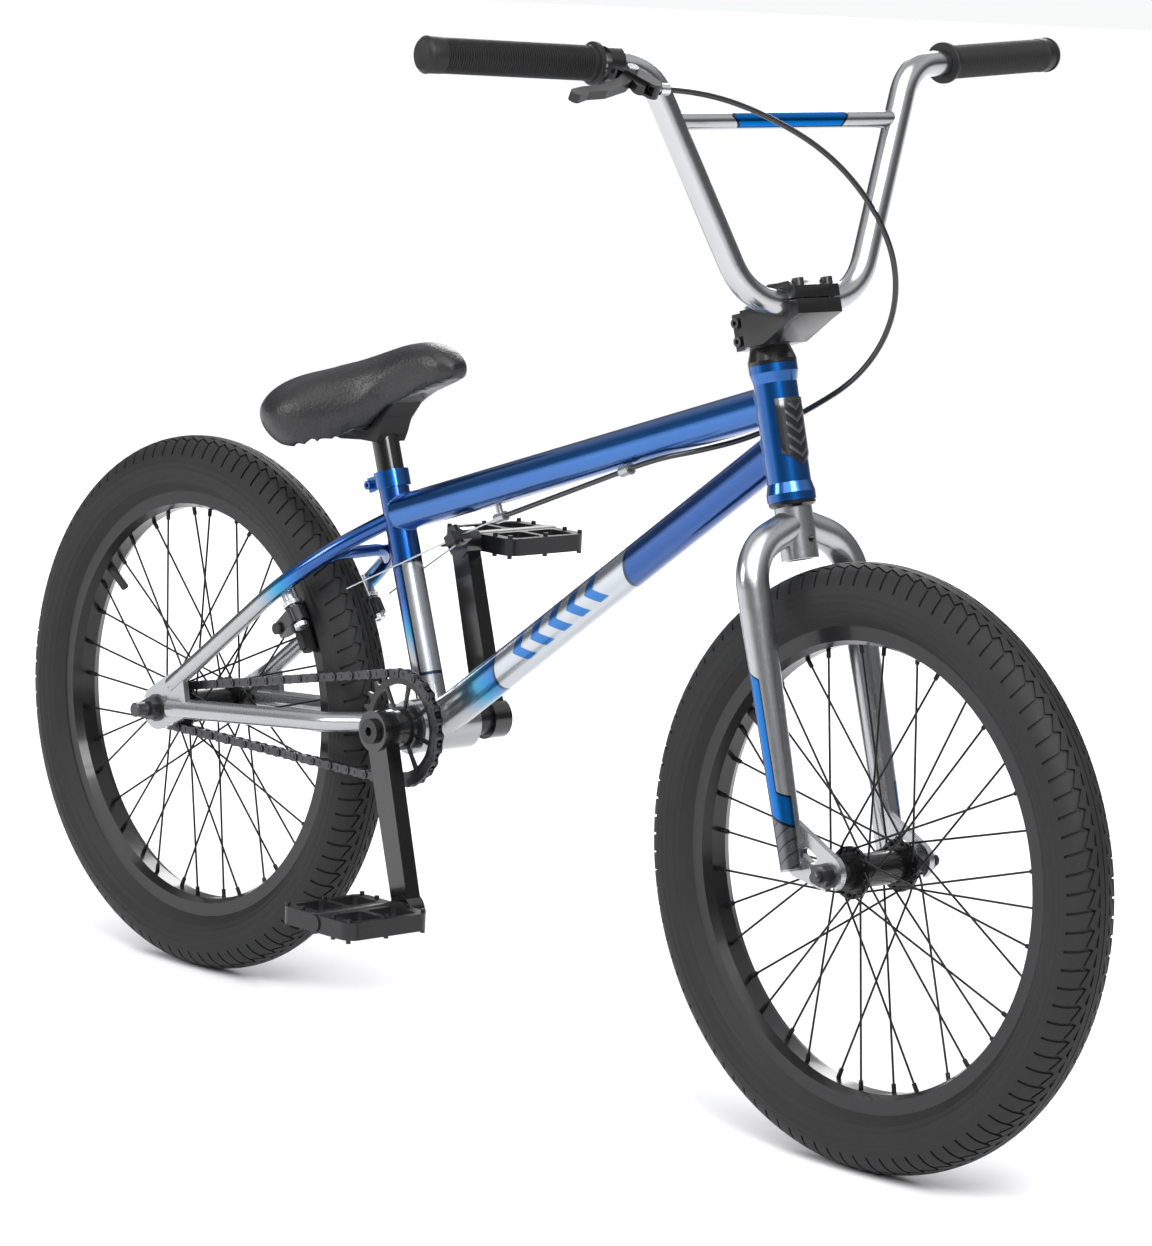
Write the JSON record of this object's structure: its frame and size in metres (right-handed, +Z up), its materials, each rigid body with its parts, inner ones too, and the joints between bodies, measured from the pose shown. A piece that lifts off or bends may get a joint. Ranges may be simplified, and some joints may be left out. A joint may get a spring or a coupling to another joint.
{
  "type": "bmx bike",
  "caption": "Small-wheel freestyle bike with a straight-tube frame, tall handlebar with a crossbar, single-speed chain drive, rear U-brake and wide treaded tyres.",
  "frame": {"origin": "on the ground, on the centre plane, midway between the two wheel axles", "axes": "+X forward, +Y to the rider's left, +Z up"},
  "size_m": [1.4259, 0.743, 0.9442],
  "materials": {
    "blue_paint": "candy blue gloss lacquer over bright metal",
    "fade_paint": "candy blue that fades to bright silver, gloss lacquer",
    "silver_paint": "bright silver lacquer",
    "fork_paint": "bright silver lacquer with plain blue bands",
    "bar_chrome": "satin chrome with a plain blue band on the crossbar",
    "tyre": "black moulded tread with ribbed sidewalls",
    "tube_rubber": "butyl rubber",
    "black_alloy": "black anodised",
    "black_spokes": "black oxide",
    "saddle_cover": "moulded black cover with a fine dimpled grain",
    "saddle_plastic": "black nylon base",
    "grip_rubber": "ribbed black rubber",
    "pad_rubber": "brake rubber",
    "chain_steel": "oiled dark steel",
    "wire_steel": "bright stranded wire",
    "cable_housing": "smooth black sheath",
    "bare_steel": "bright ground steel",
    "pedal_black": "black nylon",
    "dark_steel": "black zinc",
    "black_parts": "black gloss paint"
  },
  "bodies": {
    "frame": {"head_tube": "blue_paint", "top_tube": "blue_paint", "down_tube": "fade_paint", "seat_tube": "fade_paint", "bottom_bracket_shell": "silver_paint", "chain_stays": "silver_paint", "seat_stays": "fade_paint", "frame_fittings": "silver_paint", "seat_clamp": "blue_paint", "seat_post": "black_parts", "saddle_pad": "saddle_cover", "saddle_base": "saddle_plastic", "headset_bearings": "bare_steel", "crank_bearings": "bare_steel", "rear_axle": "dark_steel", "rear_axle_nuts": "dark_steel", "brake_pivots": "dark_steel", "brake_cable_housing": "cable_housing", "chain": "chain_steel"},
    "fork": {"fork_steerer": "fork_paint", "fork_legs": "fork_paint", "headset": "black_parts", "stem_body": "black_parts", "stem_cap": "black_parts", "stem_bolts": "dark_steel", "handlebar": "bar_chrome", "grip_left": "grip_rubber", "grip_right": "grip_rubber", "lever_bracket": "black_parts", "lever_hardware": "dark_steel", "front_axle": "dark_steel", "front_axle_nuts": "dark_steel"},
    "lever": {"brake_lever": "black_parts"},
    "brake_left": {"brake_arm_left": "black_parts", "brake_pad_left": "pad_rubber"},
    "brake_right": {"brake_arm_right": "black_parts", "brake_pad_right": "pad_rubber"},
    "straddle": {"straddle_carrier": "black_parts", "straddle_wire": "wire_steel"},
    "front_wheel": {"front_tyre": "tyre", "front_inner_tube": "tube_rubber", "front_rim": "black_alloy", "front_spokes": "black_spokes", "front_nipples": "black_spokes", "front_hub": "black_alloy"},
    "rear_wheel": {"rear_tyre": "tyre", "rear_inner_tube": "tube_rubber", "rear_rim": "black_alloy", "rear_spokes": "black_spokes", "rear_nipples": "black_spokes", "rear_hub": "black_alloy"},
    "driver": {"driver": "bare_steel"},
    "cranks": {"crank_spindle": "black_parts", "crank_arm_right": "black_parts", "crank_arm_left": "black_parts", "sprocket": "black_parts", "pedal_axles": "dark_steel"},
    "left_pedal": {"pedal_left": "pedal_black"},
    "right_pedal": {"pedal_right": "pedal_black"}
  },
  "joints": [
    {"name": "steering", "type": "hinge", "parent": "frame", "child": "fork", "pos_m": [0.31805, 0, 0.61205], "axis": [-0.2689, 0, 0.9632], "range_deg": [-85, 85], "deforming": ["brake_cable_housing"]},
    {"name": "front_wheel_spin", "type": "hinge", "parent": "fork", "child": "front_wheel", "pos_m": [0.454, 0, 0.259], "axis": [0, 1, 0], "continuous": true},
    {"name": "rear_wheel_spin", "type": "hinge", "parent": "frame", "child": "rear_wheel", "pos_m": [-0.454, 0, 0.259], "axis": [0, 1, 0], "continuous": true},
    {"name": "crank_spin", "type": "hinge", "parent": "frame", "child": "cranks", "pos_m": [-0.11423, 0, 0.292], "axis": [0, 1, 0], "continuous": true, "deforming": ["chain"]},
    {"name": "driver_spin", "type": "hinge", "parent": "frame", "child": "driver", "pos_m": [-0.454, 0, 0.259], "axis": [0, 1, 0], "continuous": true},
    {"name": "left_pedal_spin", "type": "hinge", "parent": "cranks", "child": "left_pedal", "pos_m": [-0.15971, 0, 0.45061], "axis": [0, 1, 0], "continuous": true},
    {"name": "right_pedal_spin", "type": "hinge", "parent": "cranks", "child": "right_pedal", "pos_m": [-0.06875, 0, 0.13339], "axis": [0, 1, 0], "continuous": true},
    {"name": "lever_pull", "type": "hinge", "parent": "fork", "child": "lever", "pos_m": [0.30624, -0.18377, 0.91434], "axis": [-0.4463, 0.0412, -0.894], "range_deg": [0, 16], "stiffness_Nm_per_rad": 1, "springref_deg": -11.46, "deforming": ["straddle_wire"]},
    {"name": "brake_arm_left_swing", "type": "hinge", "parent": "frame", "child": "brake_left", "pos_m": [-0.26366, 0.0465, 0.37517], "axis": [0.599, 0, -0.8007], "range_deg": [-4.56, 0]},
    {"name": "brake_arm_right_swing", "type": "hinge", "parent": "frame", "child": "brake_right", "pos_m": [-0.26366, -0.0465, 0.37517], "axis": [0.599, 0, -0.8007], "range_deg": [0, 4.56]},
    {"name": "straddle_pull", "type": "slide", "parent": "frame", "child": "straddle", "axis": [0.8007, 0, 0.599], "range_m": [0, 0.0056]}
  ],
  "couplings": [
    {"joint": "driver_spin", "follows": "crank_spin", "ratio": 2.7778},
    {"joint": "brake_arm_left_swing", "follows": "lever_pull", "ratio": -0.28369},
    {"joint": "brake_arm_right_swing", "follows": "lever_pull", "ratio": 0.28369},
    {"joint": "straddle_pull", "follows": "lever_pull", "m_per_rad": 0.02}
  ]
}
